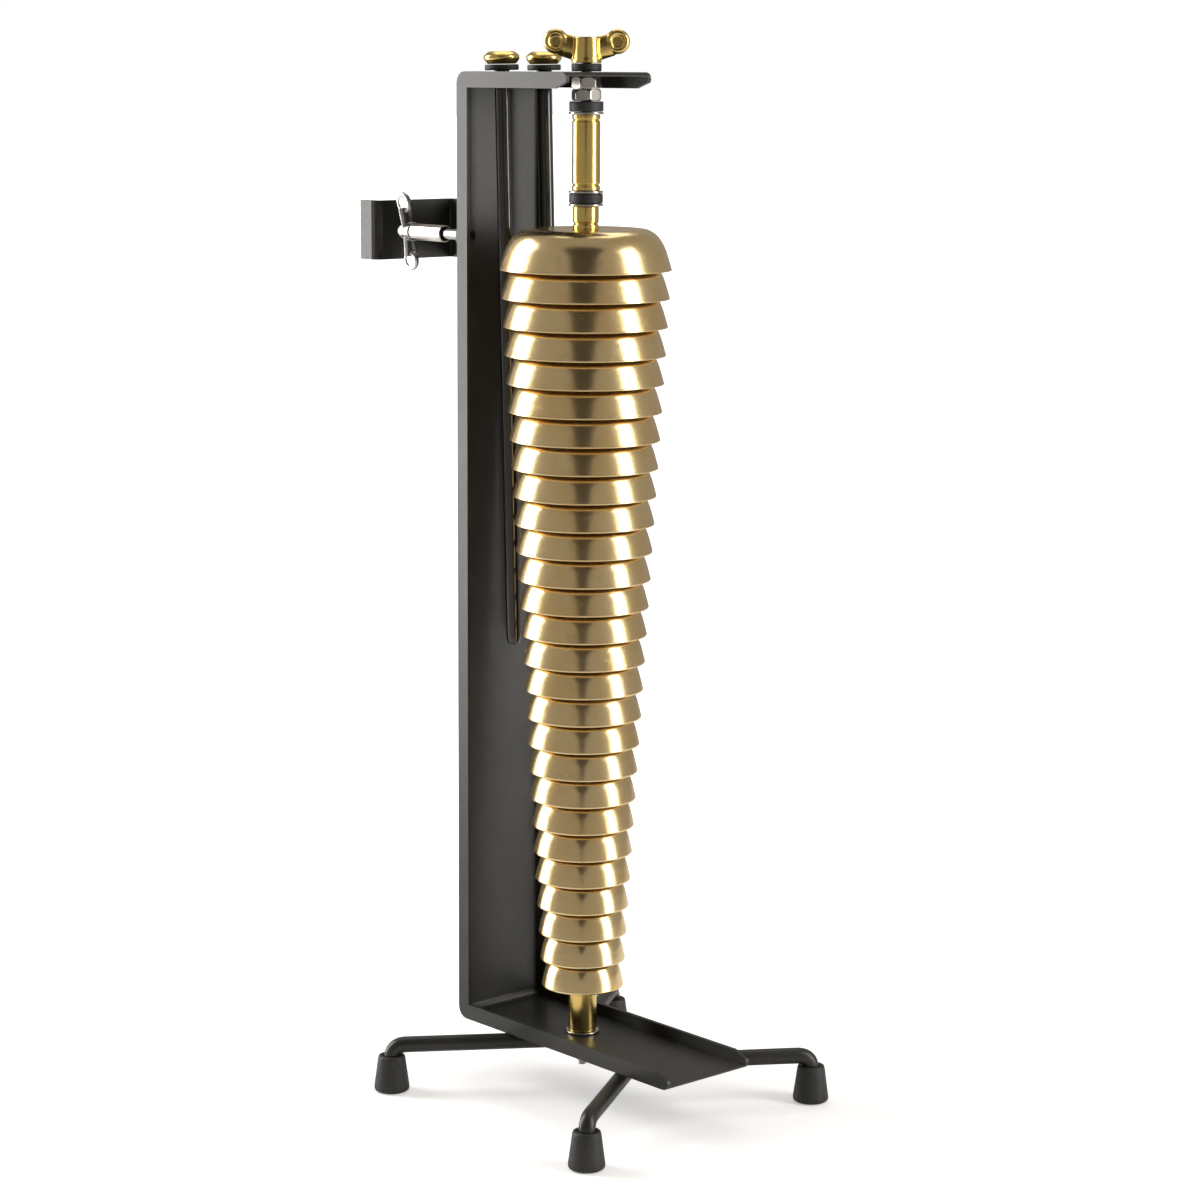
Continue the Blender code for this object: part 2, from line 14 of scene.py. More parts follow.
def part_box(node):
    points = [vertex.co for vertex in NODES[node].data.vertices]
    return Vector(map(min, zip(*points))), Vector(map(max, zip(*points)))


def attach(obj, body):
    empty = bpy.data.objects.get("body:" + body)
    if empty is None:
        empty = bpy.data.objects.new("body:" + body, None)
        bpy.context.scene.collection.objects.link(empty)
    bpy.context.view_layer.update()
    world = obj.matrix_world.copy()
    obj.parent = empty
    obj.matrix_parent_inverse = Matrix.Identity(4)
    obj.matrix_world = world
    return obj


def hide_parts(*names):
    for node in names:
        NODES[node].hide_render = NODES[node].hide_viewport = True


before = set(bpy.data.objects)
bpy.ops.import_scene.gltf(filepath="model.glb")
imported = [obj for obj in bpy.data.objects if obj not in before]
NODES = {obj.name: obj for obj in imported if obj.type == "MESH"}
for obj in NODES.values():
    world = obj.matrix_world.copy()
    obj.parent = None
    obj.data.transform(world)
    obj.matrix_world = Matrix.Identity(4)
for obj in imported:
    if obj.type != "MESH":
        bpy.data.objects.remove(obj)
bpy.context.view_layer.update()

# %% [markdown]
# ## Sizes
# Lengths in metres. The spindle's place and each node's box come from the
# frame, so the finer pieces follow the CAD.

# %%
MM = 0.001
SPINDLE_X = sum(corner[0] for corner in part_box("spindle_rod")) / 2
BELL_COUNT = 27
BELL_HEIGHT = 24.0 * MM
BELL_HEIGHT_SHARE = 0.45
BELL_DISH = 0.945
BELL_WALL = 1.6 * MM
SPACER_RADIUS = 5.6 * MM
BORE = 3.4 * MM
LEG_RADIUS = 4.9 * MM
LEAN = math.radians(1.2)
LEAN_WAY = math.radians(48.5)
WING_TURN = math.radians(48.5)
SCREW_TURN = math.radians(9.0)
FRAME_BODY = "frame"

# %% [markdown]
# ## Shader values
# One small class writes shader maths as ordinary expressions. Its `node`
# method makes any other node.


# %%
class Value:
    """A shader output that adds, multiplies and so on by making Math nodes."""

    tree = None

    def __init__(self, out):
        self.out = out

    @classmethod
    def node(cls, kind, inputs=(), out=0, **settings):
        made = cls.tree.nodes.new(kind)
        for key, value in settings.items():
            setattr(made, key, value)
        for key, value in dict(inputs).items():
            if isinstance(value, Value):
                cls.tree.links.new(value.out, made.inputs[key])
            else:
                made.inputs[key].default_value = value
        return cls(made.outputs[out])

    def maths(self, operation, other=0.0, third=0.0):
        return self.node("ShaderNodeMath", {0: self, 1: other, 2: third}, operation=operation)

    def __add__(self, other):
        return self.maths("ADD", other)

    def __sub__(self, other):
        return self.maths("SUBTRACT", other)

    def __mul__(self, other):
        return self.maths("MULTIPLY", other)

    def wave(self):
        return self.maths("SINE")

    def ramp(self, low, high):
        """0 at low, 1 at high, smooth between."""
        return self.node("ShaderNodeMapRange", {0: self, 1: low, 2: high, 3: 0.0, 4: 1.0},
                         interpolation_type="SMOOTHSTEP")

    def blend(self, a, b):
        """Colour a where this is 0 and b where it is 1."""
        colours = {6: (*a, 1.0) if isinstance(a, tuple) else a, 7: (*b, 1.0) if isinstance(b, tuple) else b}
        return self.node("ShaderNodeMix", {0: self, **colours}, out=2, data_type="RGBA")


def coordinates():
    """The object's own coordinates, whole and split into x, y and z."""
    whole = Value.node("ShaderNodeTexCoord", out="Object")
    split = [Value.node("ShaderNodeSeparateXYZ", {0: whole}, out=axis) for axis in range(3)]
    return whole, split


def stretched(whole, scale):
    return Value.node("ShaderNodeVectorMath", {0: whole, 1: scale}, operation="MULTIPLY")


def noise(where, scale, detail=3.0, roughness=0.55):
    return Value.node("ShaderNodeTexNoise", {"Vector": where, "Scale": scale, "Detail": detail,
                                             "Roughness": roughness})


# %% [markdown]
# ## Finishes
# Each finish mixes two colours by noise, varies its roughness and carries a
# fine bump. `extra` adds what only that finish has.


# %%
def finish(name, colour, second, roughness, metallic, grain, grain_height, extra=None, coat=0.0):
    """A Principled material: colour and second mixed by noise, roughness as (low, high)."""
    material = bpy.data.materials.new(name)
    material.use_nodes = True
    tree = material.node_tree
    Value.tree = tree
    shader = tree.nodes["Principled BSDF"]
    whole, (x, y, z) = coordinates()
    cloud = noise(whole, 38.0)
    fine = noise(whole, grain, 4.0)
    mixed = cloud.ramp(0.35, 0.7).blend(colour, second)
    rough = cloud * (roughness[1] - roughness[0]) + roughness[0]
    height = fine
    if extra is not None:
        mixed, rough, height = extra(mixed, rough, height, whole, x, y, z)
    bump = Value.node("ShaderNodeBump", {"Height": height, "Distance": grain_height, "Strength": 0.5})
    tree.links.new(mixed.out, shader.inputs["Base Color"])
    tree.links.new(rough.out, shader.inputs["Roughness"])
    tree.links.new(bump.out, shader.inputs["Normal"])
    shader.inputs["Metallic"].default_value = metallic
    shader.inputs["Coat Weight"].default_value = coat
    shader.inputs["Coat Roughness"].default_value = 0.08
    return material


def turning_marks(mixed, rough, height, whole, x, y, z):
    """Fine rings left by the lathe: noise drawn out round the axis, so it varies with height only."""
    rings = noise(stretched(whole, (18.0, 18.0, 2600.0)), 1.0, 2.0)
    broad = noise(stretched(whole, (4.0, 4.0, 260.0)), 1.0, 2.0)
    stain = noise(whole, 90.0, 6.0).ramp(0.56, 0.78)
    mixed = (stain * 0.35).blend(mixed, (0.50, 0.33, 0.13))
    rough = rough + rings * 0.06 + stain * 0.10
    return mixed, rough, height * 0.25 + rings * 0.5 + broad * 0.8


def fine_thread(pitch):
    """A screw thread round the spindle, drawn as a bump, with painted shade that darkens the colour towards the
    bottom of each groove.
    """
    def draw(mixed, rough, height, whole, x, y, z):
        turn = y.maths("ARCTAN2", x - SPINDLE_X)
        groove = (z * (2 * math.pi / pitch) - turn).wave()
        # painted shade: the colour darkens to near black towards the bottom of each thread groove
        mixed = (groove.ramp(-0.2, -1.0) * 0.75).blend(mixed, (0.12, 0.11, 0.10))
        return mixed, rough + 0.05, groove
    return draw


def powder_coat(mixed, rough, height, whole, x, y, z):
    """Satin black coat: orange peel, rubbed edges of handling and a little dust."""
    dust = noise(whole, 700.0, 2.0).ramp(0.66, 0.80)
    rub = noise(stretched(whole, (60.0, 60.0, 9.0)), 1.0, 4.0).ramp(0.55, 0.8)
    mixed = (dust * 0.22).blend(mixed, (0.16, 0.15, 0.14))
    return mixed, rough + rub * 0.07 + dust * 0.1, height + rub * 0.2


def moulded(mixed, rough, height, whole, x, y, z):
    """Moulded rubber: matt, with scuffed paler patches."""
    scuff = noise(whole, 160.0, 5.0).ramp(0.58, 0.76)
    mixed = (scuff * 0.3).blend(mixed, (0.075, 0.072, 0.068))
    return mixed, rough + scuff * 0.08, height


FINISHES = {
    "bell_brass": finish("bell_brass", (0.86, 0.67, 0.37), (0.82, 0.60, 0.29), (0.14, 0.22), 1.0, 900.0,
                         0.00003, turning_marks),
    "brass": finish("brass", (0.82, 0.60, 0.20), (0.74, 0.52, 0.17), (0.13, 0.24), 1.0, 700.0, 0.00003,
                    turning_marks),
    "nickel": finish("nickel", (0.58, 0.56, 0.52), (0.36, 0.34, 0.31), (0.16, 0.32), 1.0, 800.0, 0.00003),
    "chrome": finish("chrome", (0.50, 0.50, 0.50), (0.30, 0.30, 0.30), (0.16, 0.30), 1.0, 420.0, 0.00012),
    "spindle_steel": finish("spindle_steel", (0.70, 0.68, 0.64), (0.56, 0.54, 0.50), (0.18, 0.3), 1.0, 800.0,
                            0.0002, fine_thread(1.0 * MM)),
    "black_steel": finish("black_steel", (0.013, 0.013, 0.011), (0.020, 0.019, 0.017), (0.33, 0.41), 0.0,
                          1500.0, 0.00006, powder_coat),
    "black_rubber": finish("black_rubber", (0.016, 0.016, 0.016), (0.026, 0.025, 0.024), (0.5, 0.64), 0.0,
                           1100.0, 0.00008, moulded),
    "black_lacquer": finish("black_lacquer", (0.010, 0.010, 0.010), (0.018, 0.016, 0.015), (0.14, 0.24), 0.0,
                            600.0, 0.00002, coat=0.6),
}


# %% [markdown]
# ## Building surfaces
# Turned pieces are a profile swept round an axis. Cast pieces are
# simple solids melted together by a voxel remesh and smoothed.


# %%
def add_piece(name, vertices, faces, slot_name, body, node=None, smooth=True):
    """A mesh object at the origin that rides on a body and stands for a CAD node."""
    mesh = bpy.data.meshes.new(name)
    mesh.from_pydata([tuple(v) for v in vertices], [], [tuple(f) for f in faces])
    mesh.validate()
    if smooth:
        mesh.polygons.foreach_set("use_smooth", [True] * len(mesh.polygons))
    mesh.materials.append(FINISHES[slot_name])
    piece = bpy.data.objects.new(name, mesh)
    bpy.context.scene.collection.objects.link(piece)
    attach(piece, body)
    if node is not None:
        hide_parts(node)
    return piece


def grid_faces(rows, columns, wrap_rows):
    """Quads of a grid that closes along its columns, and along its rows if asked."""
    row, column = np.meshgrid(np.arange(rows if wrap_rows else rows - 1), np.arange(columns), indexing="ij")
    below = (row + 1) % rows
    beside = (column + 1) % columns
    quads = np.stack([row * columns + column, below * columns + column, below * columns + beside,
                      row * columns + beside], axis=-1)
    return quads.reshape(-1, 4)


def lathe_points(profile, sides):
    """Profile rows of (radius, height) turned round Z: x = r cos t, y = r sin t."""
    profile = np.asarray(profile, dtype=float)
    turn = np.linspace(0.0, 2 * math.pi, sides, endpoint=False)
    x = profile[:, :1] * np.cos(turn)
    y = profile[:, :1] * np.sin(turn)
    z = np.repeat(profile[:, 1:], sides, axis=1)
    return np.stack([x, y, z], axis=-1).reshape(-1, 3)


def placed(points, matrix):
    turned = points @ np.array(matrix.to_3x3()).T
    return turned + np.array(matrix.translation)


def rounded(corners, radius, steps=4):
    """A closed outline of (a, b) corners with each corner replaced by a quadratic arc."""
    corners = [np.array(corner, dtype=float) for corner in corners]
    found = []
    for i, corner in enumerate(corners):
        before = corners[i - 1] - corner
        after = corners[(i + 1) % len(corners)] - corner
        a = corner + before * min(0.45, radius / max(np.linalg.norm(before), 1e-9))
        b = corner + after * min(0.45, radius / max(np.linalg.norm(after), 1e-9))
        for t in np.linspace(0.0, 1.0, steps + 1):
            found.append(a * (1 - t) ** 2 + corner * 2 * t * (1 - t) + b * t ** 2)
    return np.array(found)


def turned_piece(name, profile, slot_name, body, node, matrix, sides=72):
    points = placed(lathe_points(profile, sides), matrix)
    return add_piece(name, points, grid_faces(len(profile), sides, True), slot_name, body, node)


def spindle_ring(node, bore, slot_name, edge, body=FRAME_BODY, grooves=()):
    """A finer ring for a CAD ring on the spindle, with its edges rounded and optional grooves."""
    low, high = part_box(node)
    outer = (high[0] - low[0]) / 2
    corners = [(bore, high[2]), (outer, high[2])]
    for height in grooves:
        level = high[2] - height
        corners += [(outer, level + 0.7 * MM), (outer - 0.7 * MM, level + 0.35 * MM),
                    (outer - 0.7 * MM, level - 0.35 * MM), (outer, level - 0.7 * MM)]
    corners += [(outer, low[2]), (bore, low[2])]
    profile = rounded(corners, edge)
    return turned_piece(node + "_turned", profile, slot_name, body, node, Matrix.Translation((SPINDLE_X, 0, 0)))


# %% [markdown]
# ## Bells
# Each bell's outer line runs from the bore over a dished crown and a rounded
# shoulder and flares to the lip. The inner line lies a wall's thickness inside
# it and ends in the spacer that stands over the next bell.


# %%
def smooth_line(points, steps):
    """A Catmull-Rom line through the points."""
    points = np.asarray(points, dtype=float)
    padded = np.vstack([2 * points[0] - points[1], points, 2 * points[-1] - points[-2]])
    found = []
    for i in range(1, len(padded) - 2):
        a, b, c, d = padded[i - 1:i + 3]
        for t in np.linspace(0.0, 1.0, steps, endpoint=False):
            found.append(0.5 * (2 * b + (c - a) * t + (2 * a - 5 * b + 4 * c - d) * t ** 2
                                + (3 * b - a - 3 * c + d) * t ** 3))
    found.append(points[-1])
    return np.array(found)


def bell_profile(radius, height, stand):
    """Closed outline of a bell: r and z from the lip's plane, stand is the spacer's lower end."""
    outer = smooth_line([(BORE, BELL_DISH * height), (0.40 * radius, 0.975 * height), (0.66 * radius, height),
                         (0.765 * radius, 0.935 * height), (0.845 * radius, 0.80 * height),
                         (0.915 * radius, 0.56 * height), (0.963 * radius, 0.27 * height),
                         (radius, 0.0)], 6)
    wall = BELL_WALL
    lip = [(radius - 0.15 * MM, -0.25 * MM), (radius - 0.7 * wall, -0.25 * MM), (radius - wall, 0.1 * MM)]
    inner = smooth_line([(0.963 * radius - wall, 0.27 * height), (0.915 * radius - wall, 0.56 * height),
                         (0.845 * radius - wall, 0.80 * height - wall * 0.5),
                         (0.66 * radius, height - wall), (0.40 * radius, 0.975 * height - wall),
                         (SPACER_RADIUS, BELL_DISH * height - wall)], 4)
    spacer = [(SPACER_RADIUS, stand), (BORE, stand)]
    return np.vstack([outer, lip, inner, spacer])


BELL_BOXES = [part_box("bell_%02d" % (index + 1)) for index in range(BELL_COUNT)]


def lip_height(index):
    """Each bell's box reaches its spacer's end, so the lip is set below the crown's top by a height that shrinks with
    the bell's radius.
    """
    low, high = BELL_BOXES[index]
    radius = (high[0] - low[0]) / 2
    largest = (BELL_BOXES[0][1][0] - BELL_BOXES[0][0][0]) / 2
    tall = BELL_HEIGHT * (BELL_HEIGHT_SHARE + (1.0 - BELL_HEIGHT_SHARE) * radius / largest)
    return high[2] - tall, radius, high[2]


for index in range(BELL_COUNT):
    lip, radius, top = lip_height(index)
    height = top - lip
    if index < BELL_COUNT - 1:
        below_lip, below_radius, below_top = lip_height(index + 1)
        stand = below_lip + (below_top - below_lip) * BELL_DISH + 0.3 * MM - lip
    else:
        stand = BELL_DISH * height - BELL_WALL - 0.2 * MM
    name = "bell_%02d" % (index + 1)
    turned_piece(name + "_cup", bell_profile(radius, height, stand), "bell_brass", name + "_body", name,
                 Matrix.Translation((SPINDLE_X, 0.0, lip)), 96)

# %% [markdown]
# ## Tubes, rings and washers on the spindle

# %%
for node, edge in (("upper_rubber_ring", 0.9), ("lower_rubber_ring", 0.9), ("cap_washer", 0.8)):
    spindle_ring(node, BORE, "black_rubber", edge * MM, "cap_washer_body" if node == "cap_washer" else FRAME_BODY)
for node in ("upper_washer", "middle_washer", "lower_washer", "floor_washer"):
    spindle_ring(node, BORE, "nickel", 0.35 * MM)
for node, grooves in (("upper_spacer_tube", (3.2 * MM, 40.8 * MM)), ("lower_spacer_tube", (10.0 * MM,)),
                      ("bottom_spacer_tube", ())):
    spindle_ring(node, BORE, "brass", 0.5 * MM, grooves=grooves)

# %% [markdown]
# ## Cast pieces
# The brass wing nut and the chrome wing screw are solids
# melted together, so their joins get the soft fillets of a casting.


# %%
def ellipsoid(centre, radii, turn=None):
    """Vertices and faces of an ellipsoid, a sphere's grid stretched by radii."""
    rows, columns = 24, 32
    polar = np.linspace(0.02, math.pi - 0.02, rows)
    profile = np.stack([np.sin(polar), np.cos(polar)], axis=-1)
    points = lathe_points(profile, columns) * np.array(radii)
    if turn is not None:
        points = points @ np.array(turn.to_3x3()).T
    faces = [tuple(quad) for quad in grid_faces(rows, columns, False)]
    faces += [tuple(range(columns))[::-1], tuple((rows - 1) * columns + np.arange(columns))]
    return points + np.array(centre), faces


def tapered(start, end, start_radius, end_radius, squash=(1.0, 1.0), sides=32):
    """A closed cone or rod from start to end, its section stretched by squash."""
    start, end = Vector(start), Vector(end)
    way = (end - start)
    turn = way.to_track_quat("Z", "Y").to_matrix()
    profile = np.array([(start_radius, 0.0), (end_radius, way.length)])
    points = lathe_points(profile, sides) * np.array([squash[0], squash[1], 1.0])
    points = points @ np.array(turn).T + np.array(start)
    faces = [tuple(quad) for quad in grid_faces(2, sides, False)]
    faces += [tuple(range(sides))[::-1], tuple(sides + np.arange(sides))]
    return points, faces


def melted(name, solids, slot_name, body, node, voxel, smoothing, matrix=None):
    """Solids joined by a voxel remesh, then relaxed."""
    vertices, faces = [], []
    for points, quads in solids:
        start = len(vertices)
        vertices += [tuple(point) for point in points]
        faces += [tuple(int(i) + start for i in quad) for quad in quads]
    vertices = np.array(vertices)
    if matrix is not None:
        vertices = placed(vertices, matrix)
    piece = add_piece(name, vertices, faces, slot_name, body, node)
    remesh = piece.modifiers.new("Melt", "REMESH")
    remesh.mode = "VOXEL"
    remesh.voxel_size = voxel
    remesh.use_smooth_shade = True
    relax = piece.modifiers.new("Relax", "SMOOTH")
    relax.factor = 0.5
    relax.iterations = smoothing
    return piece


def dimpled_ear(centre, radius, thickness, rim, faces_along):
    """A round ear with a raised rim: a thin disc, and a torus for the rim on both faces."""
    way = Vector(faces_along)
    middle = Vector(centre)
    core = tapered(middle - way * thickness * 0.3, middle + way * thickness * 0.3, radius * 0.9, radius * 0.9)
    turn = np.linspace(0.0, 2 * math.pi, 20, endpoint=False)
    section = np.stack([radius - rim + rim * np.cos(turn), thickness / 2 * np.sin(turn)], axis=-1)
    points = lathe_points(section, 40) @ np.array(way.to_track_quat("Z", "Y").to_matrix()).T + np.array(middle)
    return [core, (points, [tuple(quad) for quad in grid_faces(20, 40, True)])]


low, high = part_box("brass_wing_nut")
solids = [tapered((0, 0, 0), (0, 0, 2.4 * MM), 8.9 * MM, 8.6 * MM),
          tapered((0, 0, 2.0 * MM), (0, 0, 15.0 * MM), 8.4 * MM, 7.6 * MM)]
for side in (-1, 1):
    solids.append(tapered((side * 3.0 * MM, 0, 7.2 * MM), (side * 15.0 * MM, 0, 10.6 * MM), 7.0 * MM, 6.6 * MM,
                          (0.40, 1.0)))
    solids += dimpled_ear((side * 18.0 * MM, 0.0, 12.3 * MM), 7.3 * MM, 5.4 * MM, 2.1 * MM, (0.0, 1.0, 0.0))
melted("wing_nut_cast", solids, "brass", "wing_nut_body", "brass_wing_nut", 0.4 * MM, 4,
       Matrix.Translation((SPINDLE_X, 0.0, low[2])) @ Matrix.Rotation(WING_TURN, 4, "Z"))

low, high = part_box("clamp_wing_screw")
screw_y = (low[1] + high[1]) / 2
screw_z = (low[2] + high[2]) / 2
hub = low[0]
solids = [tapered((hub + 2.2 * MM, 0, 0), (hub + 13.8 * MM, 0, 0), 4.4 * MM, 5.7 * MM),
          ellipsoid((hub + 4.4 * MM, 0, 0), (3.6 * MM, 4.9 * MM, 4.9 * MM)),
          tapered((hub + 10.0 * MM, 0, 0), (high[0], 0, 0), 3.1 * MM, 3.1 * MM)]
for side in (-1, 1):
    solids.append(tapered((hub + 8.4 * MM, 0, side * 3.0 * MM), (hub + 7.0 * MM, 0, side * 15.0 * MM),
                          4.6 * MM, 4.8 * MM, (1.0, 0.40)))
    solids += dimpled_ear((hub + 7.0 * MM, 0.0, side * 17.9 * MM), 6.6 * MM, 3.0 * MM, 1.6 * MM, (0.0, 1.0, 0.0))
melted("wing_screw_cast", solids, "chrome", "wing_screw_body", "clamp_wing_screw", 0.35 * MM, 3,
       Matrix.Translation((0.0, screw_y, screw_z)) @ Matrix.Rotation(SCREW_TURN, 4, "X"))

# %% [markdown]
# ## Hexagon nuts
# A hexagon whose corners are cut back by a cone at both ends.

# %%
for node, turn in (("upper_jam_nut", 0.45), ("lower_jam_nut", 0.05), ("bottom_nut", 0.3)):
    low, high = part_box(node)
    thick = high[2] - low[2]
    angle = np.linspace(0.0, 2 * math.pi, 144, endpoint=False)
    flat = 7.8 * MM
    hexagon = flat / np.cos((angle - turn + math.pi / 6) % (math.pi / 3) - math.pi / 6)
    rows = [np.full(144, BORE), np.full(144, BORE + 0.5 * MM)]
    levels = [thick - 0.5 * MM, thick]
    for depth, reach in ((0.0, 0.985), (0.25, 1.03), (0.55, 1.07), (0.9, 1.11), (1.3, 1.2)):
        rows.append(np.minimum(hexagon, flat * reach))
        levels.append(thick - depth * MM)
    rows += rows[::-1]
    levels += [thick - level for level in levels[::-1]]
    rows, levels = np.array(rows), np.array(levels)
    points = np.stack([rows * np.cos(angle) + SPINDLE_X, rows * np.sin(angle),
                       np.repeat(levels[:, None], 144, axis=1) + low[2]], axis=-1).reshape(-1, 3)
    add_piece(node + "_cut", points, grid_faces(len(rows), 144, True), "nickel", FRAME_BODY, node)

# %% [markdown]
# ## Legs and feet
# Each leg is one bent rod that turns down into its two rubber feet.

# %%
def boot_profile(height):
    """A rubber boot: domed base, straight taper, a thick rolled top edge round the rod."""
    return rounded([(0.01 * MM, 0.0), (9.6 * MM, 0.0), (11.0 * MM, 1.6 * MM), (8.3 * MM, height - 1.0 * MM),
                    (7.7 * MM, height), (5.0 * MM, height), (5.0 * MM, 8.0 * MM), (0.01 * MM, 8.0 * MM)], 1.6 * MM, 5)


for row in ("rear", "front"):
    for side in ("left", "right"):
        node = "%s_%s_foot" % (row, side)
        low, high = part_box(node)
        centre = Vector(((low[0] + high[0]) / 2, (low[1] + high[1]) / 2, 0.0))
        turned_piece(node + "_boot", boot_profile(high[2] + 2.0 * MM), "black_rubber", FRAME_BODY, node,
                     Matrix.Translation(centre), 64)


def tube_along(path, radius, sides=32):
    """A closed round rod along a path, its rings kept upright to the path's own tangents."""
    path = np.array(path)
    tangent = np.gradient(path, axis=0)
    tangent /= np.linalg.norm(tangent, axis=1)[:, None]
    normal = np.cross(tangent[0], [0.3, 0.2, 0.9])
    normal /= np.linalg.norm(normal)
    turn = np.linspace(0.0, 2 * math.pi, sides, endpoint=False)
    rings = []
    for point, way in zip(path, tangent):
        normal = normal - way * np.dot(normal, way)
        normal /= np.linalg.norm(normal)
        side = np.cross(way, normal)
        rings.append(point + radius * (np.cos(turn)[:, None] * normal + np.sin(turn)[:, None] * side))
    faces = [tuple(quad) for quad in grid_faces(len(path), sides, False)]
    faces += [tuple(range(sides))[::-1], tuple((len(path) - 1) * sides + np.arange(sides))]
    return np.array(rings).reshape(-1, 3), faces


def bent_corner(before, corner, after, radius, steps):
    """Points of a rounded corner: a quadratic arc that starts and ends radius away from it."""
    a = corner + (before - corner).normalized() * radius
    b = corner + (after - corner).normalized() * radius
    return [a * (1 - t) ** 2 + corner * 2 * t * (1 - t) + b * t ** 2 for t in np.linspace(0.0, 1.0, steps)]


for row, vertex_x in (("rear", -12.0 * MM), ("front", 48.0 * MM)):
    low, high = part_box(row + "_leg_rod")
    level = high[2] - LEG_RADIUS
    feet = []
    for side in ("left", "right"):
        foot_low, foot_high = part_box("%s_%s_foot" % (row, side))
        feet.append(Vector(((foot_low[0] + foot_high[0]) / 2, (foot_low[1] + foot_high[1]) / 2, level)))
    vertex = Vector((SPINDLE_X + vertex_x, 0.0, level))
    down = Vector((0.0, 0.0, -1.0))
    path = [feet[0] + down * (level - 9.0 * MM)]
    path += bent_corner(feet[0] + down, feet[0], vertex, 9.0 * MM, 12)
    path += bent_corner(feet[0], vertex, feet[1], 16.0 * MM, 16)
    path += bent_corner(vertex, feet[1], feet[1] + down, 9.0 * MM, 12)
    path.append(feet[1] + down * (level - 9.0 * MM))
    points, faces = tube_along(path, LEG_RADIUS)
    add_piece(row + "_leg_bent", points, faces, "black_steel", FRAME_BODY, row + "_leg_rod")

# %% [markdown]
# ## Beaters
# Two lacquered rods with brass heads lean a little in their holes.

# %%
for number in (1, 2):
    body = "beater_%d" % number
    low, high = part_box("beater_head_%d" % number)
    axis = Vector((-math.sin(LEAN) * math.cos(LEAN_WAY), -math.sin(LEAN) * math.sin(LEAN_WAY), math.cos(LEAN)))
    middle = Vector(((low[0] + high[0]) / 2, (low[1] + high[1]) / 2, (low[2] + high[2]) / 2))
    place = Matrix.Translation(middle) @ axis.to_track_quat("Z", "Y").to_matrix().to_4x4()
    head = rounded([(0.01 * MM, 3.7 * MM), (7.6 * MM, 3.7 * MM), (10.7 * MM, 1.2 * MM), (10.7 * MM, -0.8 * MM),
                    (8.6 * MM, -3.7 * MM), (0.01 * MM, -3.7 * MM)], 1.2 * MM, 6)
    turned_piece(body + "_head_turned", head, "brass", body, "beater_head_%d" % number, place)
    collar = rounded([(4.8 * MM, -4.0 * MM), (10.1 * MM, -4.0 * MM), (10.1 * MM, -7.4 * MM), (4.8 * MM, -7.4 * MM)],
                     0.8 * MM)
    turned_piece(body + "_collar_turned", collar, "black_rubber", body, "beater_collar_%d" % number, place)
    rod = rounded([(0.01 * MM, -4.0 * MM), (4.55 * MM, -4.0 * MM), (4.55 * MM, -350.0 * MM), (3.6 * MM, -354.0 * MM),
                   (0.01 * MM, -354.6 * MM)], 1.6 * MM, 5)
    turned_piece(body + "_rod_turned", rod, "black_lacquer", body, "beater_rod_%d" % number, place, 40)

# %% [markdown]
# ## Finish of the CAD nodes that stay
# The frame, strap, weld nut, sleeve and spindle rod keep their CAD shape;
# all but the spindle rod get their edges rounded by a bevel.

# %%
KEPT = {
    "channel_frame": ("black_steel", 0.5), "clamp_strap": ("black_steel", 0.4), "clamp_weld_nut": ("black_steel", 0.3), "clamp_sleeve": ("nickel", 0.2),
    "spindle_rod": ("spindle_steel", 0.0),
}
for node, (slot_name, edge) in KEPT.items():
    item = NODES[node]
    item.data.materials.clear()
    item.data.materials.append(FINISHES[slot_name])
    if edge:
        bevel = item.modifiers.new("Edges", "BEVEL")
        bevel.width = edge * MM
        bevel.segments = 3
        bevel.limit_method = "ANGLE"
        bevel.angle_limit = math.radians(40)
        bevel.harden_normals = True

# %% [markdown]
# ## Floor, light and camera
# A pale floor, two tall soft boxes either side of the camera and a dark card
# between them, whose reflection makes the dark line down the bells.


# %%
def staged(name, size, place, aim, colour, strength, flare=1.0):
    """A flat card facing a point, glowing with the given strength, flare times as wide at its top."""
    half = (size[0] / 2, size[1] / 2)
    mesh = bpy.data.meshes.new(name)
    mesh.from_pydata([(-half[0], -half[1], 0), (half[0], -half[1], 0), (half[0] * flare, half[1], 0), (-half[0] * flare, half[1], 0)],
                     [], [(0, 1, 2, 3)])
    card = bpy.data.objects.new(name, mesh)
    bpy.context.scene.collection.objects.link(card)
    way = Vector(aim) - Vector(place)
    card.matrix_world = Matrix.Translation(place) @ way.to_track_quat("Z", "Y").to_matrix().to_4x4()
    material = bpy.data.materials.new(name)
    material.use_nodes = True
    shader = material.node_tree.nodes["Principled BSDF"]
    shader.inputs["Base Color"].default_value = (*colour, 1.0)
    shader.inputs["Roughness"].default_value = 0.9
    shader.inputs["Emission Color"].default_value = (*colour, 1.0)
    shader.inputs["Emission Strength"].default_value = strength
    mesh.materials.append(material)
    return card


def round_camera(azimuth, distance, height):
    """A place round the spindle: azimuth in degrees to the right of the camera's side."""
    turn = math.radians(48.471 - 90.0 + azimuth)
    return (SPINDLE_X + distance * math.cos(turn), distance * math.sin(turn), height)


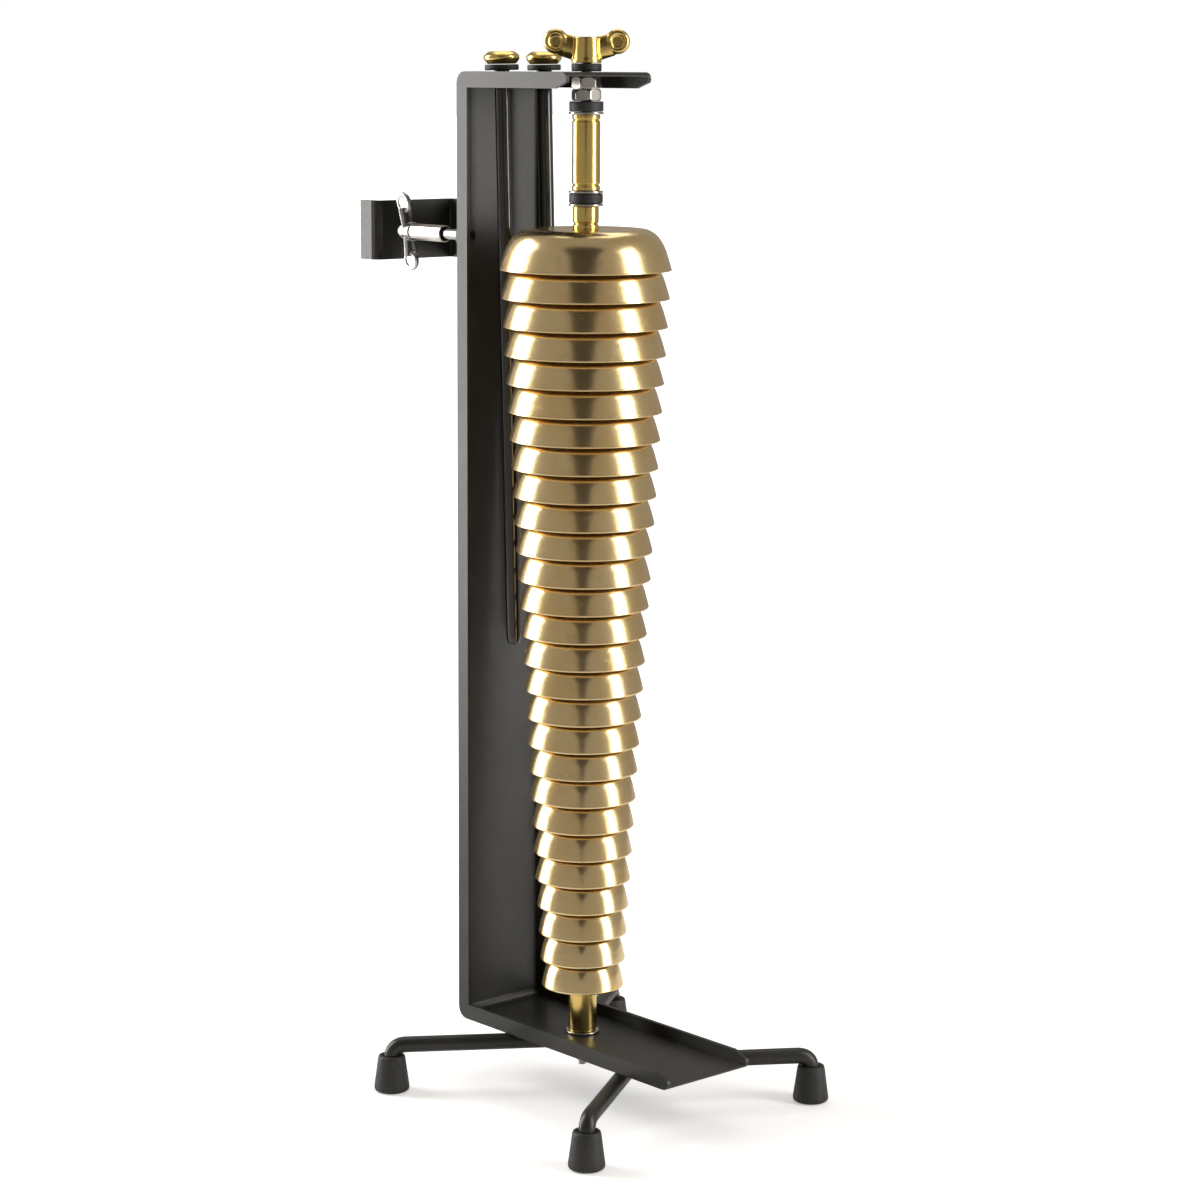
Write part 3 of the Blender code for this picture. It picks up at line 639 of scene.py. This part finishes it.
floor = staged("floor", (60.0, 60.0), (0.0, 0.0, -0.0002), (0.0, 0.0, 1.0), (0.93, 0.93, 0.93), 0.0)
Value.tree = floor.data.materials[0].node_tree
whole, (x, y, z) = coordinates()
away = (x * x + y * y).maths("SQRT").ramp(0.22, 0.60)
seen = Value.node("ShaderNodeLightPath", out="Is Camera Ray")
glow = (away * 0.7 + 0.3).blend((0.0, 0.0, 0.0), (1.0, 1.0, 1.0))
glow = seen.blend((0.0, 0.0, 0.0), glow)
floor_shader = Value.tree.nodes["Principled BSDF"]
Value.tree.links.new(glow.out, floor_shader.inputs["Emission Color"])
floor_shader.inputs["Emission Strength"].default_value = 1.2
aim = (SPINDLE_X, 0.0, 0.33)
for name, azimuth, width, strength in (("left_box", -109.0, 0.80, 6.5), ("right_box", 71.0, 0.52, 6.0)):
    box = staged(name, (width, 1.7), round_camera(azimuth, 1.5, 0.75), aim, (1.0, 0.98, 0.95), strength)
    box.visible_camera = False
card = staged("dark_card", (0.12, 2.3), round_camera(-3.0, 1.5, 1.6), (SPINDLE_X, 0.0, 1.6), (0.025, 0.022, 0.02), 0.6, 20.0)
card.visible_camera = False
card.visible_diffuse = False
card.visible_shadow = False
top_box = staged("top_box", (1.2, 1.2), round_camera(180.0, 0.8, 2.0), aim, (1.0, 1.0, 1.0), 0.8)
top_box.visible_camera = False

world = bpy.data.worlds.new("studio")
bpy.context.scene.world = world
world.use_nodes = True
Value.tree = world.node_tree
path = Value.node("ShaderNodeLightPath", out="Is Camera Ray")
seen = path.blend((0.33, 0.31, 0.28), (1.0, 1.0, 1.0))
world.node_tree.links.new(seen.out, world.node_tree.nodes["Background"].inputs["Color"])

camera_data = bpy.data.cameras.new("photo_camera")
camera_data.sensor_width = 36.0
camera_data.lens = 92.91
camera = bpy.data.objects.new("photo_camera", camera_data)
bpy.context.scene.collection.objects.link(camera)
camera.matrix_world = (Matrix.Translation((1.3801 + SPINDLE_X, -1.2096, 0.6216))
                       @ Matrix.Rotation(math.radians(48.471), 4, "Z")
                       @ Matrix.Rotation(math.radians(80.243), 4, "X")
                       @ Matrix.Rotation(math.radians(0.298), 4, "Z"))
bpy.context.scene.camera = camera
bpy.context.scene.view_settings.view_transform = "Standard"
